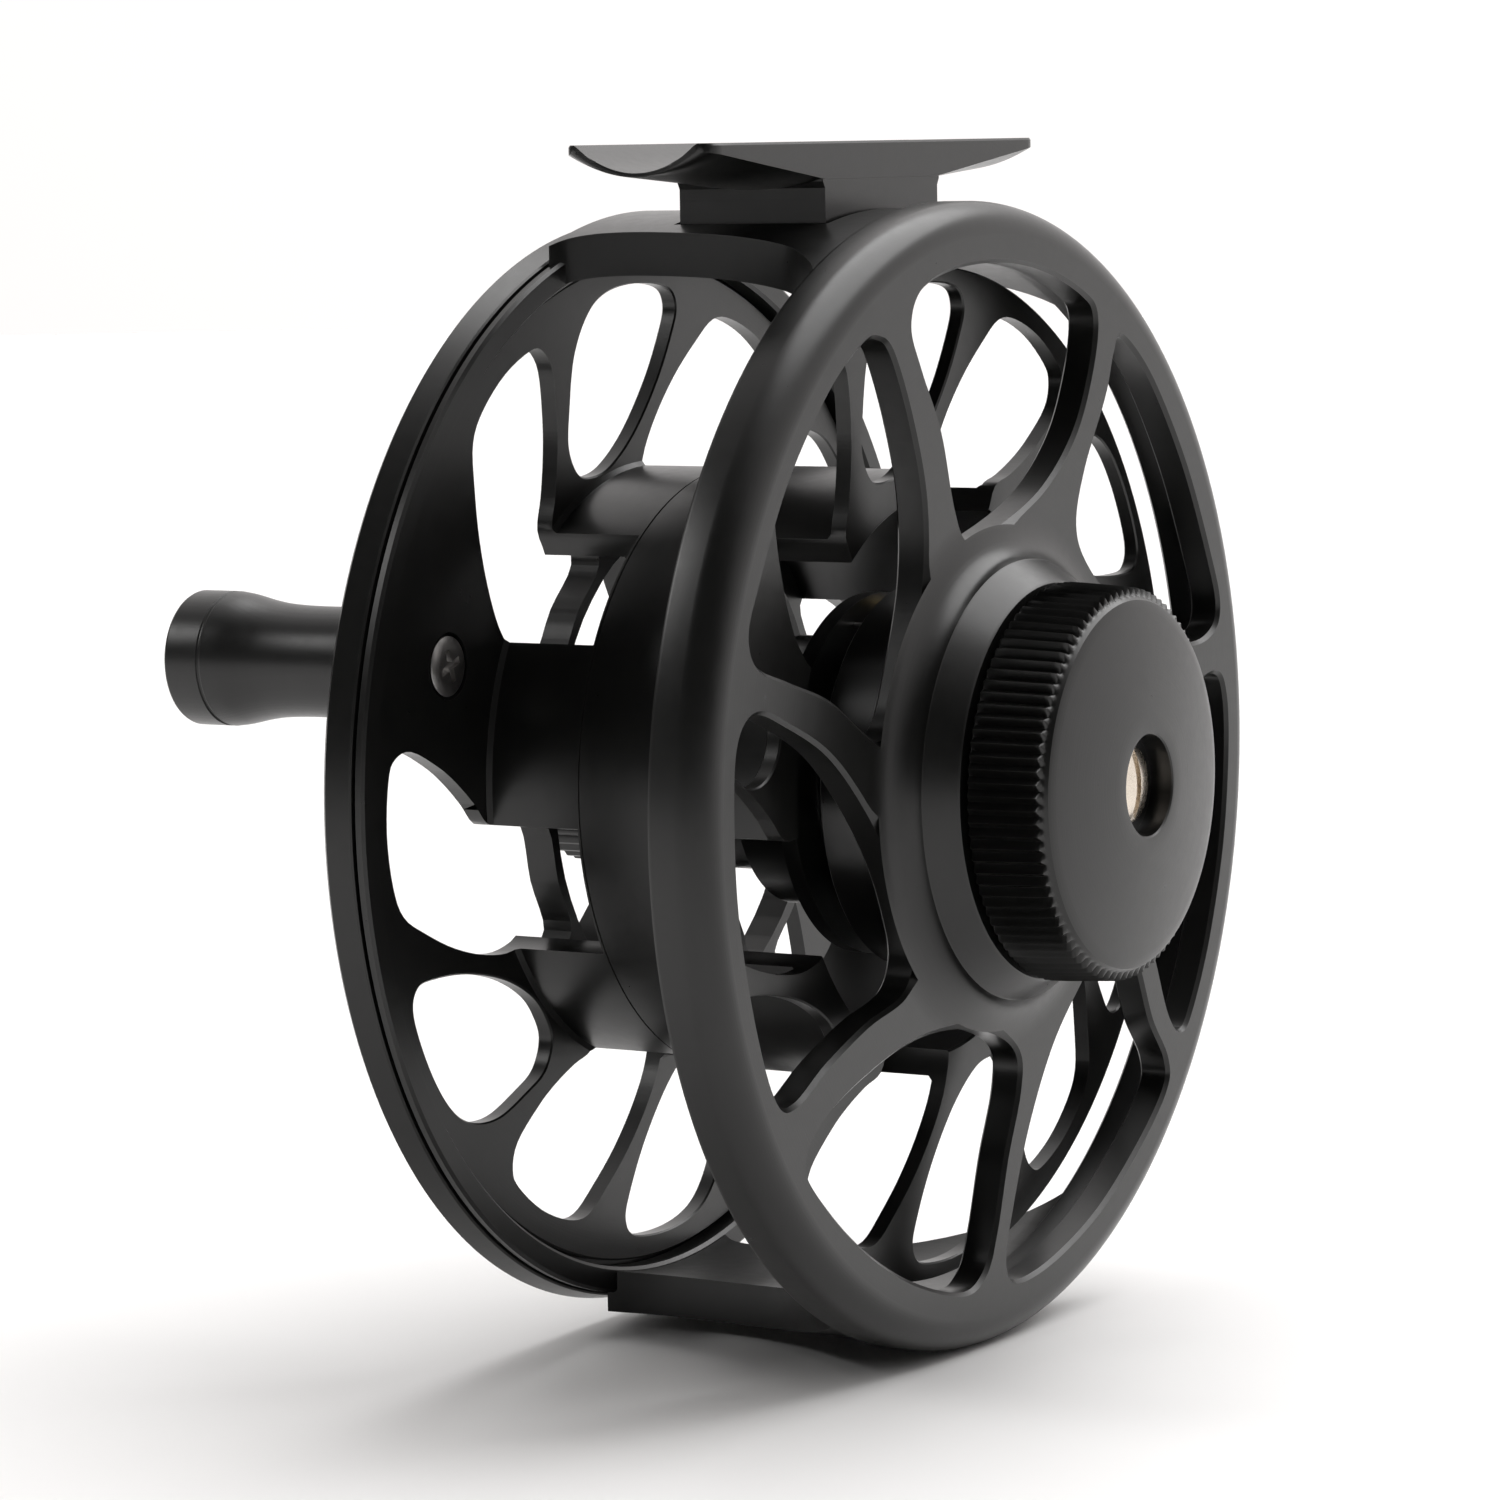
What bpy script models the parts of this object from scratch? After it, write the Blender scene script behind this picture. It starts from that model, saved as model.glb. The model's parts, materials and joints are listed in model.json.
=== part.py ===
"""A large-arbor fly reel: caged frame, saddle foot, ported spool and a knurled drag knob.

The parts are laid out on the spool axis. Heights run along that axis: 0 is the flat front face
of the frame, + is towards the drag knob and - towards the winding handle. In the layout plane
x runs along the foot and y points from the axis to the foot. One empty turns this layout into
the world: the spool axis lies along world Y, and the world origin is the seat of the foot.
"""

import math

import bmesh
import bpy
from mathutils import Matrix

MM = 0.001
STEPS = 48
FINE_STEPS = 48
SMALL_STEPS = 20
SMOOTH_ANGLE = math.radians(35)
TOOTH_PHASE = 0.21
ALONG_Y = Matrix.Rotation(-math.pi / 2, 4, "X")

# The seat of the foot, measured from the spool axis and the front face (mm)
SEAT_RADIUS = 55.25
SEAT_DEPTH = 19.05

# Frame (mm)
RING_R = 52.2
RING_INNER_R = 47.6
RING_DEPTH = 5.8
PLATE_DEPTH = 3.1
BOSS_R = 20.0
WELL_R = 15.5
WELL_FLOOR = 3.0
CUP_R = 17.6
CUP_BORE_R = 15.4
CUP_FLOOR = 0.8
CUP_DEPTH = 8.9
FAR_RING_R = 49.8
FAR_RING_INNER_R = 47.4
FAR_RING_DEPTH = 35.9
PILLAR_INNER_R = 47.8
PILLAR_OUTER_R = 51.6

# Foot (mm)
FOOT_LENGTH = 60.6
FOOT_WIDTH = 15.3
FOOT_TOP = 57.75
TROUGH_SAG = FOOT_TOP - SEAT_RADIUS
TROUGH_FACETS = 9
PEDESTAL_LENGTH = 20.8
PEDESTAL_SEAT = 50.15
FOOT_SCREW_X = 6.0

# Spool (mm)
ARBOR_INNER_R = 25.6
ARBOR_R = 27.8
NEAR_FLANGE = (-6.4, -7.9)
NEAR_FLANGE_R = 46.3
FAR_FLANGE = (-37.2, -38.8)
FAR_FLANGE_R = 46.9
RIM_INNER_R = 49.0
RIM_R = 50.6
RIM_DEPTH = 39.7
BAND = (-14.9, -27.9)
WEB = (-33.0, -36.0)
HUB_R = 9.5
HUB_BORE_R = 7.2
CLUTCH_BORE_R = 9.9
HUB_FRONT = -11.8
HUB_REAR = -39.5

# Spindle and bearings (mm)
SPINDLE_R = 3.0
SPINDLE_FRONT = 11.0
SPINDLE_REAR = -41.0
BEARING_BORE_R = 3.3
BEARING_R = 6.9
BEARING_WIDTH = 4.0
FRONT_BEARING = -19.9
REAR_BEARING = -34.5

# Drag knob (mm)
KNOB_TEETH = 96
KNOB_REAR = 6.0
KNOB_R = 18.0
KNOB_ROOT_R = 17.5
KNOB_FRONT = 12.8
KNOB_FACE_R = 16.5
KNOB_FACE = 13.6
KNOB_DOME = 15.3
KNOB_HOLE_R = 4.6

# Handle and counterweight, as (radius, degrees) on the spool (mm)
HANDLE_AT = (36.0, 160.6)
COUNTERWEIGHT_AT = (36.0, 340.6)
HANDLE_BOSS_R = 6.4
HANDLE_BOSS = -40.0

# Click pawl pivot, as (radius, degrees), and click wheel (mm)
PAWL_AT = (14.8, 75.0)
CLICK_TEETH = 24
CLICK_TIP_R = 11.0
CLICK_ROOT_R = 10.3

# Windows of the frame: points (x, y) that a closed smooth curve runs through (mm)
FRAME_WINDOWS = (
    ((-15.2, 41.5), (-13.2, 44.5), (-7.0, 46.2), (1.8, 46.6), (10.0, 45.6), (17.5, 43.2),
     (20.0, 41.0), (18.8, 36.0), (15.2, 30.3), (8.5, 25.5), (-1.0, 22.4), (-5.6, 22.1),
     (-7.8, 25.2), (-10.0, 32.0), (-13.5, 37.8)),
    ((-24.0, 40.1), (-21.2, 40.5), (-18.8, 39.0), (-15.6, 33.0), (-13.4, 26.0), (-13.6, 18.5),
     (-16.3, 11.0), (-18.6, 6.8), (-21.8, 5.5), (-25.0, 6.8), (-30.5, 9.9), (-37.5, 12.1),
     (-42.6, 13.8), (-44.1, 16.4), (-42.6, 20.0), (-37.2, 28.8), (-30.0, 36.2)),
    ((-46.9, 3.0), (-46.0, 8.0), (-43.0, 9.8), (-38.0, 8.3), (-31.0, 5.1), (-25.0, 0.2),
     (-20.0, -5.5), (-17.0, -11.0), (-16.2, -14.6), (-18.4, -17.4), (-25.0, -19.0),
     (-32.0, -21.5), (-37.6, -24.1), (-40.8, -23.3), (-44.0, -16.4), (-46.5, -6.5)),
    ((-35.9, -29.2), (-33.0, -26.6), (-27.0, -24.2), (-18.0, -22.0), (-10.0, -21.7),
     (-2.0, -23.1), (2.8, -25.6), (2.9, -29.2), (0.3, -35.0), (-2.0, -41.5), (-4.2, -45.0),
     (-8.5, -45.9), (-18.0, -43.0), (-27.0, -38.2), (-34.6, -32.0)),
    ((16.0, -20.9), (10.0, -26.0), (5.0, -33.0), (1.5, -40.5), (0.3, -44.4), (2.0, -46.6),
     (9.0, -46.0), (18.5, -43.0), (27.0, -38.2), (32.8, -33.6), (33.2, -30.7), (30.0, -26.5),
     (27.3, -20.9), (24.5, -17.6), (20.5, -17.6)),
    ((44.5, 5.6), (46.6, 3.6), (47.0, -2.0), (45.7, -10.9), (42.5, -19.9), (38.7, -26.4),
     (36.4, -28.2), (33.9, -26.2), (31.2, -20.5), (28.3, -15.0), (25.5, -9.0), (24.2, -2.5),
     (24.3, 3.5), (27.0, 5.6), (32.0, 5.0), (38.5, 4.6)),
    ((25.5, 38.9), (23.8, 37.6), (22.0, 33.5), (17.6, 27.0), (15.8, 22.0), (18.0, 18.3),
     (24.0, 14.2), (32.0, 10.6), (39.5, 9.1), (44.0, 9.9), (45.4, 12.2), (43.8, 16.5),
     (38.5, 26.0), (31.5, 34.6)),
)

# Ports of the spool: points (degrees, radius) from the angle that a port is turned to
OPEN_PORT = (
    (-3.6, 43.9), (2.4, 44.3), (8.6, 44.0), (12.8, 43.0), (16.5, 40.2), (21.5, 36.4),
    (26.8, 32.3), (30.5, 28.6), (32.0, 24.9), (20.0, 24.7), (7.8, 24.9), (5.5, 28.2),
    (1.5, 30.3), (-2.4, 33.1), (-5.0, 36.1), (-7.0, 40.5), (-6.0, 43.0),
)
LENS_PORT = (
    (12.7, 43.3), (17.3, 40.3), (21.2, 35.9), (23.6, 32.9), (22.9, 30.2), (19.4, 29.0),
    (12.6, 28.8), (3.7, 31.1), (-3.5, 35.7), (-7.2, 40.5), (-7.9, 43.1), (-5.5, 44.6),
    (1.5, 44.9), (8.0, 44.6),
)
WEB_PORT = ((-19.3, 13.1), (0.4, 12.6), (19.3, 13.1), (21.3, 20.0), (20.3, 23.3),
            (0.4, 23.5), (-20.3, 23.3), (-21.3, 20.0))
OPEN_TURNS = tuple(range(0, 360, 60))
LENS_TURNS = tuple(range(30, 390, 60))
WEB_TURNS = tuple(range(20, 380, 60))
HANDLE_LENS_TURN = 150
COUNTERWEIGHT_LENS_TURN = 330

# Half widths of the two frame pillars as (height, half width) from front to back (mm)
TOP_PILLAR = ((-3.6, 27.0), (-5.8, 22.5), (-8.5, 19.5), (-12.5, 16.8), (-20.0, 14.3),
              (-28.0, 13.3), (-33.0, 13.6), (-35.6, 15.0), (-36.6, 17.0))
BOTTOM_PILLAR = ((-3.6, 26.0), (-5.8, 22.0), (-8.5, 18.5), (-12.5, 14.6), (-18.0, 11.0),
                 (-24.0, 9.0), (-30.0, 8.2), (-34.0, 8.6), (-36.6, 10.5))


# ---------------------------------------------------------------- placing and finishing


def clear_scene():
    """Empties the scene."""
    for obj in list(bpy.data.objects):
        bpy.data.objects.remove(obj)


def new_collection(name):
    """A collection under the scene's own."""
    made = bpy.data.collections.new(name)
    bpy.context.scene.collection.children.link(made)
    return made


def new_material(name, colour, roughness, metallic):
    """A Principled material."""
    made = bpy.data.materials.new(name)
    made.use_nodes = True
    shader = made.node_tree.nodes["Principled BSDF"]
    shader.inputs["Base Color"].default_value = (*colour, 1.0)
    shader.inputs["Roughness"].default_value = roughness
    shader.inputs["Metallic"].default_value = metallic
    return made


def at(place, height=0.0):
    """A location in metres from (radius, degrees) and a height in mm."""
    radius, degrees = place
    turn = math.radians(degrees)
    return (radius * math.cos(turn) * MM, radius * math.sin(turn) * MM, height * MM)


def linked(obj, parts=True):
    """Puts an object under the layout empty, in the collection of parts or of cutters."""
    collection = PARTS if parts else CUTTERS
    collection.objects.link(obj)
    obj.parent = LAYOUT
    obj.hide_render = not parts
    if not parts:
        obj.display_type = "WIRE"
    return obj


def as_mesh(obj, name=None):
    """Swaps a curve or a modified object for a plain mesh object in the same place."""
    bpy.context.view_layer.update()
    graph = bpy.context.evaluated_depsgraph_get()
    mesh = bpy.data.meshes.new_from_object(obj.evaluated_get(graph))
    bm = bmesh.new()
    bm.from_mesh(mesh)
    bmesh.ops.remove_doubles(bm, verts=bm.verts, dist=0.001 * MM)
    bmesh.ops.recalc_face_normals(bm, faces=bm.faces)
    bm.to_mesh(mesh)
    bm.free()
    made = bpy.data.objects.new(name or obj.name, mesh)
    for collection in obj.users_collection:
        collection.objects.link(made)
    made.parent = obj.parent
    made.location = obj.location
    made.hide_render = obj.hide_render
    made.display_type = obj.display_type
    old_name = obj.name
    bpy.data.objects.remove(obj)
    made.name = name or old_name
    return made


def finish(obj, material):
    """Applies the modifiers, gives the material and shades the round faces smooth."""
    obj = as_mesh(obj)
    obj.data.materials.clear()
    obj.data.materials.append(material)
    obj.data.shade_smooth()
    obj.data.set_sharp_from_angle(angle=SMOOTH_ANGLE)
    return obj


def combine(obj, other, operation="DIFFERENCE"):
    """One exact Boolean; the other object is a cutter or a piece to join."""
    modifier = obj.modifiers.new(other.name, "BOOLEAN")
    modifier.operation = operation
    modifier.solver = "EXACT"
    modifier.object = other
    return obj


# ---------------------------------------------------------------- shapes


def turned(name, profile, steps=SMALL_STEPS, place=(0.0, 0.0), parts=True):
    """A closed (radius, height) profile turned about the height axis.

    The profile runs down the outer side. Where it starts and ends on the axis it is open there.
    """
    mesh = bpy.data.meshes.new(name)
    points = [(radius * MM, 0.0, height * MM) for radius, height in profile]
    edges = [(i, i + 1) for i in range(len(points) - 1)]
    if profile[0][0] > 0:
        edges.append((len(points) - 1, 0))
    mesh.from_pydata(points, edges, [])
    obj = linked(bpy.data.objects.new(name, mesh), parts)
    obj.location = at(place)
    screw = obj.modifiers.new("turn", "SCREW")
    screw.axis = "Z"
    screw.steps = steps
    screw.render_steps = steps
    screw.use_merge_vertices = True
    screw.merge_threshold = 1e-5
    return obj


def ring(name, inner, outer, top, bottom, steps=SMALL_STEPS, place=(0.0, 0.0), parts=True):
    """A plain washer or tube."""
    profile = ((inner, top), (outer, top), (outer, bottom), (inner, bottom))
    return turned(name, profile, steps, place, parts)


def plug(name, radius, top, bottom, steps=SMALL_STEPS, place=(0.0, 0.0), parts=False):
    """A solid cylinder, most often a cutter."""
    profile = ((0.0, top), (radius, top), (radius, bottom), (0.0, bottom))
    return turned(name, profile, steps, place, parts)


def arc(centre, radius, start, end, count):
    """Points along an arc, in degrees, as (x, y)."""
    turns = [math.radians(start + (end - start) * i / (count - 1)) for i in range(count)]
    return [(centre[0] + radius * math.cos(t), centre[1] + radius * math.sin(t))
            for t in turns]


def flat(name, outlines, top, bottom, smooth=0, place=(0.0, 0.0), parts=False):
    """Straight-sided solids from closed (x, y) outlines, one inside another as a hole.

    With smooth above 0 each outline is a smooth curve through its points.
    """
    curve = bpy.data.curves.new(name, "CURVE")
    curve.dimensions = "2D"
    curve.fill_mode = "BOTH"
    curve.extrude = (top - bottom) / 2 * MM
    for outline in outlines:
        if smooth:
            spline = curve.splines.new("BEZIER")
            spline.bezier_points.add(len(outline) - 1)
            for point, (x, y) in zip(spline.bezier_points, outline):
                point.co = (x * MM, y * MM, 0.0)
                point.handle_left_type = "AUTO"
                point.handle_right_type = "AUTO"
            spline.resolution_u = smooth
        else:
            spline = curve.splines.new("POLY")
            spline.points.add(len(outline) - 1)
            for point, (x, y) in zip(spline.points, outline):
                point.co = (x * MM, y * MM, 0.0, 1.0)
        spline.use_cyclic_u = True
    curve.resolution_u = max(smooth, 1)
    obj = linked(bpy.data.objects.new(name, curve), parts)
    obj.location = at(place, (top + bottom) / 2)
    return as_mesh(obj)


def toothed(tip, root, count, tip_share=0.5):
    """The outline of a ring of pointed teeth; tip_share is where in its pitch a tip lies."""
    outline = []
    for tooth in range(count):
        for share, radius in ((0.0, root), (tip_share, tip)):
            turn = 2 * math.pi * (tooth + share + TOOTH_PHASE) / count
            outline.append((radius * math.cos(turn), radius * math.sin(turn)))
    return outline


def polygon(sides, corner_radius):
    """A regular polygon's corners."""
    return [(corner_radius * math.cos(2 * math.pi * i / sides),
             corner_radius * math.sin(2 * math.pi * i / sides)) for i in range(sides)]


def port(points, turn):
    """A spool port's (degrees, radius) points turned to its place, as (x, y)."""
    return [(radius * math.cos(math.radians(angle + turn)),
             radius * math.sin(math.radians(angle + turn))) for angle, radius in points]


def upright_prism(name, outline, low, high):
    """A cutter whose (x, height) outline is carried along the layout's y from low to high."""
    bm = bmesh.new()
    face = bm.faces.new([bm.verts.new((x * MM, low * MM, h * MM)) for x, h in outline])
    grown = bmesh.ops.extrude_face_region(bm, geom=[face])["geom"]
    moved = [item for item in grown if isinstance(item, bmesh.types.BMVert)]
    bmesh.ops.translate(bm, vec=(0.0, (high - low) * MM, 0.0), verts=moved)
    bmesh.ops.recalc_face_normals(bm, faces=bm.faces)
    mesh = bpy.data.meshes.new(name)
    bm.to_mesh(mesh)
    bm.free()
    return linked(bpy.data.objects.new(name, mesh), parts=False)


def upright_rod(name, radius, low, high, x, parts=False, segments=SMALL_STEPS):
    """A cylinder along the layout's y, centred on the foot's width."""
    bm = bmesh.new()
    bmesh.ops.create_cone(bm, cap_ends=True, segments=segments, radius1=radius * MM,
                          radius2=radius * MM, depth=(high - low) * MM)
    mesh = bpy.data.meshes.new(name)
    bm.to_mesh(mesh)
    bm.free()
    mesh.transform(ALONG_Y)
    obj = linked(bpy.data.objects.new(name, mesh), parts)
    obj.location = (x * MM, (low + high) / 2 * MM, -SEAT_DEPTH * MM)
    return obj


# ---------------------------------------------------------------- frame and foot


def frame_profile():
    """The face, boss, drag cup and near ring as one turned profile."""
    boss = [(18.1, 5.5), (BOSS_R, 2.8), (20.9, 1.6), (22.4, 0.7), (24.8, 0.0)]
    edge = arc((RING_R - 3.0, -3.0), 3.0, 90, 0, 6)
    return [(0.0, WELL_FLOOR), (WELL_R, WELL_FLOOR), (WELL_R, 5.5), *boss, *edge,
            (RING_R, -RING_DEPTH + 0.5), (RING_R - 0.5, -RING_DEPTH),
            (RING_INNER_R, -RING_DEPTH), (RING_INNER_R, -PLATE_DEPTH),
            (CUP_R, -PLATE_DEPTH), (CUP_R, -CUP_DEPTH), (CUP_BORE_R, -CUP_DEPTH),
            (CUP_BORE_R, CUP_FLOOR), (0.0, CUP_FLOOR)]


def far_ring_profile():
    """The stepped ring that the spool's rim runs over."""
    front = -FAR_RING_DEPTH
    return [(FAR_RING_INNER_R, front), (FAR_RING_R, front), (FAR_RING_R, front - 0.8),
            (48.6, front - 0.8), (48.6, front - 2.2), (FAR_RING_INNER_R, front - 2.2)]


def pillar(name, half_widths, low, high):
    """A curved bar between the rings, cut from a tube by its plan outline."""
    tube = ring(name, PILLAR_INNER_R, PILLAR_OUTER_R, -3.6, -36.6, STEPS, parts=False)
    right = [(half, height) for height, half in half_widths]
    left = [(-half, height) for height, half in reversed(half_widths)]
    plan = upright_prism(f"{name}_plan", right + left, low, high)
    return as_mesh(combine(tube, plan, "INTERSECT"))


def build_frame():
    """The frame: one machined piece with seven windows and two pillars."""
    frame = turned("frame", frame_profile(), FINE_STEPS)
    combine(frame, turned("far_ring", far_ring_profile(), FINE_STEPS, parts=False), "UNION")
    combine(frame, pillar("top_pillar", TOP_PILLAR, 30.0, 55.0), "UNION")
    combine(frame, pillar("bottom_pillar", BOTTOM_PILLAR, -55.0, -30.0), "UNION")
    combine(frame, flat("windows", FRAME_WINDOWS, 1.0, -PLATE_DEPTH - 0.45, smooth=2))
    combine(frame, flat("spindle_keyway", [polygon(6, 3.9)], 4.0, 0.0))
    half = PEDESTAL_LENGTH / 2 + 0.4
    depth = FOOT_WIDTH / 2 + 0.4
    flat_seat = [(-half, -SEAT_DEPTH - depth), (half, -SEAT_DEPTH - depth),
                 (half, -SEAT_DEPTH + depth), (-half, -SEAT_DEPTH + depth)]
    combine(frame, upright_prism("pedestal_seat", flat_seat, PEDESTAL_SEAT - 0.3, 54.0))
    for side in (-1, 1):
        x = side * FOOT_SCREW_X
        combine(frame, upright_rod(f"foot_screw_head_hole_{side}", 3.3, 46.0, 49.0, x))
        combine(frame, upright_rod(f"foot_screw_hole_{side}", 1.8, 48.0, 52.0, x))
    return finish(frame, BLACK_METAL)


def foot_section(x):
    """The foot's cross-section at x: the trough on top and the crowned underside."""
    run = (abs(x) - PEDESTAL_LENGTH / 2) / ((FOOT_LENGTH - PEDESTAL_LENGTH) / 2)
    run = min(max(run, 0.0), 1.0)
    edge_thickness = 3.5 + (0.9 - 3.5) * run
    middle_depth = 4.4 + (3.0 - 4.4) * run
    section = []
    for i in range(TROUGH_FACETS + 1):
        share = 2 * i / TROUGH_FACETS - 1
        rise = (share * share - 1 / TROUGH_FACETS ** 2) / (1 - 1 / TROUGH_FACETS ** 2)
        section.append((share * FOOT_WIDTH / 2, SEAT_RADIUS + TROUGH_SAG * rise))
    for i in range(TROUGH_FACETS + 1):
        share = 1 - 2 * i / TROUGH_FACETS
        drop = edge_thickness + (middle_depth - edge_thickness) * (1 - share * share)
        section.append((share * FOOT_WIDTH / 2, FOOT_TOP - drop))
    return [(x * MM, y * MM, (z - SEAT_DEPTH) * MM) for z, y in section]


def build_foot():
    """The foot: a tapering saddle lofted along its length, on a block pedestal."""
    stations = [-FOOT_LENGTH / 2, -PEDESTAL_LENGTH / 2, PEDESTAL_LENGTH / 2, FOOT_LENGTH / 2]
    bm = bmesh.new()
    rings = [[bm.verts.new(point) for point in foot_section(x)] for x in stations]
    count = len(rings[0])
    for first, second in zip(rings, rings[1:]):
        for i in range(count):
            j = (i + 1) % count
            bm.faces.new((first[i], first[j], second[j], second[i]))
    bm.faces.new(rings[0])
    bm.faces.new(rings[-1])
    bmesh.ops.recalc_face_normals(bm, faces=bm.faces)
    mesh = bpy.data.meshes.new("reel_foot")
    bm.to_mesh(mesh)
    bm.free()
    foot = linked(bpy.data.objects.new("reel_foot", mesh))
    half = PEDESTAL_LENGTH / 2
    depth = FOOT_WIDTH / 2 - 0.05
    base = [(-half, -SEAT_DEPTH - depth), (half, -SEAT_DEPTH - depth),
            (half, -SEAT_DEPTH + depth), (-half, -SEAT_DEPTH + depth)]
    combine(foot, upright_prism("pedestal", base, PEDESTAL_SEAT, 54.4), "UNION")
    for side in (-1, 1):
        x = side * FOOT_SCREW_X
        combine(foot, upright_rod(f"foot_thread_{side}", 1.6, 49.0, 53.6, x))
    return finish(foot, BLACK_METAL)


def build_foot_screw(name, x):
    """A socket screw that holds the foot, its head recessed in the frame's top pillar."""
    screw = upright_rod(name, 2.9, 47.9, 48.7, x, parts=True)
    combine(screw, upright_rod(f"{name}_shank", 1.3, 48.2, 53.2, x), "UNION")
    socket = upright_rod(f"{name}_socket", 1.3, 47.0, 48.4, x, segments=6)
    combine(screw, socket)
    return finish(screw, STEEL)


# ---------------------------------------------------------------- drag


def build_knob():
    """The drag knob: knurled skirt, domed face and a hexagonal socket for the nut."""
    profile = [(KNOB_HOLE_R, KNOB_DOME), (9.0, KNOB_DOME - 0.35), (13.0, KNOB_DOME - 0.95),
               (KNOB_FACE_R, KNOB_FACE), (KNOB_FACE_R + 0.1, KNOB_FRONT + 0.3),
               (17.6, KNOB_FRONT), (KNOB_R, KNOB_REAR + 0.4), (KNOB_R, KNOB_REAR),
               (15.6, KNOB_REAR), (15.6, 11.9), (10.5, 11.9), (10.5, 6.5), (2.2, 6.5),
               (2.2, 12.9), (KNOB_HOLE_R, 12.9)]
    knob = turned("drag_knob", profile, FINE_STEPS)
    teeth = flat("knob_teeth", [toothed(KNOB_R + 0.1, KNOB_ROOT_R, KNOB_TEETH)], 17.0, 5.0)
    combine(knob, teeth, "INTERSECT")
    combine(knob, flat("knob_socket", [polygon(6, 8.0)], 11.9, 5.5))
    return finish(knob, BLACK_METAL)


def build_knob_screw():
    """The slotted screw on the spindle's end that keeps the knob on."""
    head = [(0.0, 14.0), (2.0, 13.9), (3.2, 13.6), (3.45, 13.2), (1.6, 13.2), (1.6, 6.6),
            (0.0, 6.6)]
    screw = turned("knob_screw", head)
    slot = [(-0.45, -4.0), (0.45, -4.0), (0.45, 4.0), (-0.45, 4.0)]
    combine(screw, flat("knob_screw_slot", [slot], 15.0, 13.5))
    return finish(screw, NICKEL)


def build_spindle():
    """The fixed spindle: keyed front, flange behind the drag stack and a long journal."""
    profile = [(0.0, 6.2), (1.9, 6.2), (1.9, SPINDLE_FRONT), (SPINDLE_R, SPINDLE_FRONT),
               (SPINDLE_R, -5.3), (5.2, -5.3), (5.2, -6.6), (SPINDLE_R, -6.6),
               (SPINDLE_R, SPINDLE_REAR), (1.8, SPINDLE_REAR), (1.8, -35.0), (0.0, -35.0)]
    spindle = turned("spindle", profile)
    combine(spindle, flat("spindle_key", [polygon(6, 3.55)], 2.8, 1.0), "UNION")
    finish(spindle, STEEL)


def build_drag():
    """The drag stack in the frame's cup, its springs and the nut that loads them."""
    finish(ring("friction_plate", 4.0, 14.9, 0.5, -0.3, 32), STEEL)
    finish(ring("drag_washer", 5.6, 14.9, -0.6, -1.6, 32), CARBON)
    rotor = [(3.4, -1.9), (14.9, -1.9), (14.9, -3.9), (7.4, -3.9), (7.4, -18.8),
             (6.0, -18.8), (6.0, -3.9), (3.4, -3.9)]
    finish(turned("drag_rotor", rotor, 32), STEEL)
    finish(ring("thrust_washer", 3.3, 5.6, -4.2, -5.0), BRONZE)
    cover = [(7.8, -7.0), (15.1, -7.0), (15.1, -8.8), (9.35, -8.8), (9.35, -7.9),
             (7.8, -7.9)]
    finish(turned("drag_cover", cover, 32), BLACK_METAL)
    seal = arc((8.5, -8.75), 0.55, 180, -180, 9)[:-1]
    finish(turned("drag_seal", seal), RUBBER)
    rear_cone = [(3.3, 4.1), (6.6, 3.7), (6.6, 3.3), (3.3, 3.7)]
    finish(turned("spring_washer_rear", rear_cone), STEEL)
    front_cone = [(3.3, 4.8), (6.6, 5.2), (6.6, 4.8), (3.3, 4.4)]
    finish(turned("spring_washer_front", front_cone), STEEL)
    nut = flat("adjusting_nut", [polygon(6, 7.5)], 9.4, 6.2, parts=True)
    combine(nut, plug("nut_thread", 3.4, 10.0, 5.0))
    finish(nut, BRASS)


# ---------------------------------------------------------------- spool


def spool_profile():
    """Both flanges, arbor, web, hub and palming rim as one turned profile."""
    lip = -38.5
    return [(CLUTCH_BORE_R, HUB_FRONT), (12.4, HUB_FRONT), (12.4, -12.2), (16.6, -12.2),
            (16.6, -13.8), (12.4, -13.8), (12.4, -20.9), (HUB_R, -22.5), (HUB_R, WEB[0]),
            (ARBOR_INNER_R, WEB[0]), (ARBOR_INNER_R, NEAR_FLANGE[0]),
            (NEAR_FLANGE_R, NEAR_FLANGE[0]), (NEAR_FLANGE_R, NEAR_FLANGE[1]),
            (ARBOR_R, NEAR_FLANGE[1]), (ARBOR_R, FAR_FLANGE[0]), (FAR_FLANGE_R, FAR_FLANGE[0]),
            (FAR_FLANGE_R, lip), (RIM_INNER_R, lip), (RIM_INNER_R, -37.0), (50.1, -37.0),
            (RIM_R, -RIM_DEPTH + 0.4), (RIM_R - 0.4, -RIM_DEPTH), (47.6, -RIM_DEPTH),
            (46.7, FAR_FLANGE[1]), (ARBOR_INNER_R, FAR_FLANGE[1]), (ARBOR_INNER_R, WEB[1]),
            (HUB_R, WEB[1]), (HUB_R, HUB_REAR), (HUB_BORE_R, HUB_REAR), (HUB_BORE_R, -19.6),
            (CLUTCH_BORE_R, -19.6)]


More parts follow.
